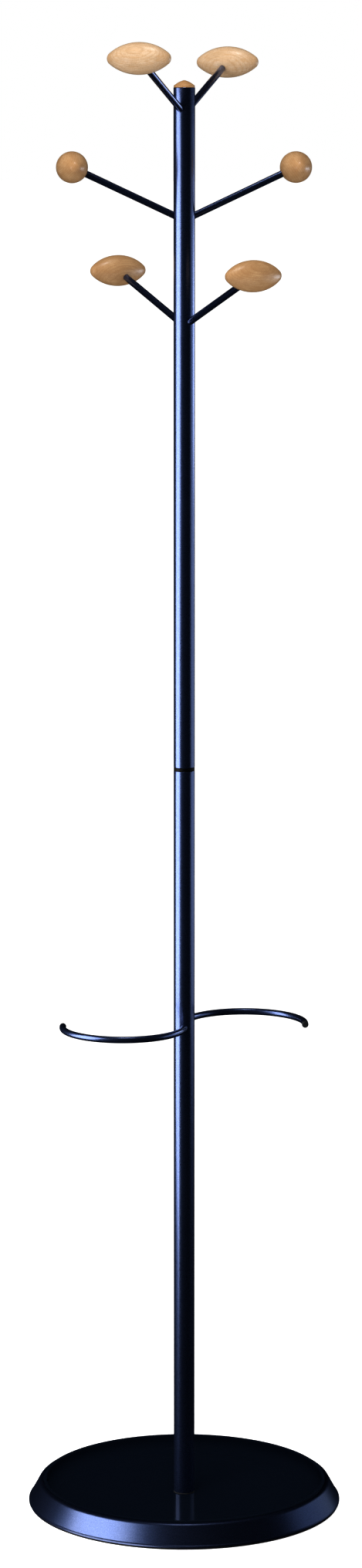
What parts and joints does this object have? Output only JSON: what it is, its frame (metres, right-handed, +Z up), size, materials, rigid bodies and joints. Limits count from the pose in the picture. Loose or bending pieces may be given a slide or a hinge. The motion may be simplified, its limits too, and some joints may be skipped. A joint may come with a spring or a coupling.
{
  "type": "standing coat rack",
  "caption": "Free-standing coat rack: round weighted foot with drip tray, slim tube, tiered arms with turned wooden pegs, and an S-shaped umbrella rod.",
  "frame": {"origin": "on the floor, at the centre of the round foot, under the tube's axis", "axes": "+Z up along the tube; +X to the right and +Y away when the rack is seen from the front, where the left-hand umbrella loop bulges forward"},
  "size_m": [0.376, 0.376, 1.7406],
  "materials": {
    "navy_paint": "satin metallic navy paint with a fine sparkle, on steel",
    "tray_enamel": "high-gloss blue-black enamel",
    "lacquered_beech": "turned beech under clear satin lacquer",
    "black_plastic": "matt black moulded plastic",
    "grey_plastic": "matt dark grey moulded plastic",
    "black_rubber": "matt black rubber",
    "cast_iron": "as cast, dipped in black primer",
    "bright_steel": "turned and zinc plated"
  },
  "bodies": {
    "root": {"arm_core_low": "bright_steel", "arm_core_middle": "bright_steel", "arm_core_top": "bright_steel", "arm_low_a": "navy_paint", "arm_low_b": "navy_paint", "arm_middle_a": "navy_paint", "arm_middle_b": "navy_paint", "arm_top_a": "navy_paint", "arm_top_b": "navy_paint", "ballast": "cast_iron", "base_skirt": "navy_paint", "clamp_screw": "bright_steel", "drip_tray": "tray_enamel", "floor_ring": "black_rubber", "foot_plug": "bright_steel", "foot_seal": "black_rubber", "joint_ring": "black_plastic", "joint_stud": "bright_steel", "lower_joint_plug": "bright_steel", "lower_tube": "navy_paint", "peg_low_a": "lacquered_beech", "peg_low_b": "lacquered_beech", "peg_middle_a": "lacquered_beech", "peg_middle_b": "lacquered_beech", "peg_top_a": "lacquered_beech", "peg_top_b": "lacquered_beech", "rod_core": "bright_steel", "rod_set_screw": "bright_steel", "rod_tip_left": "grey_plastic", "rod_tip_right": "grey_plastic", "top_cap": "lacquered_beech", "umbrella_rod": "navy_paint", "upper_joint_plug": "bright_steel", "upper_tube": "navy_paint"}
  },
  "joints": []
}
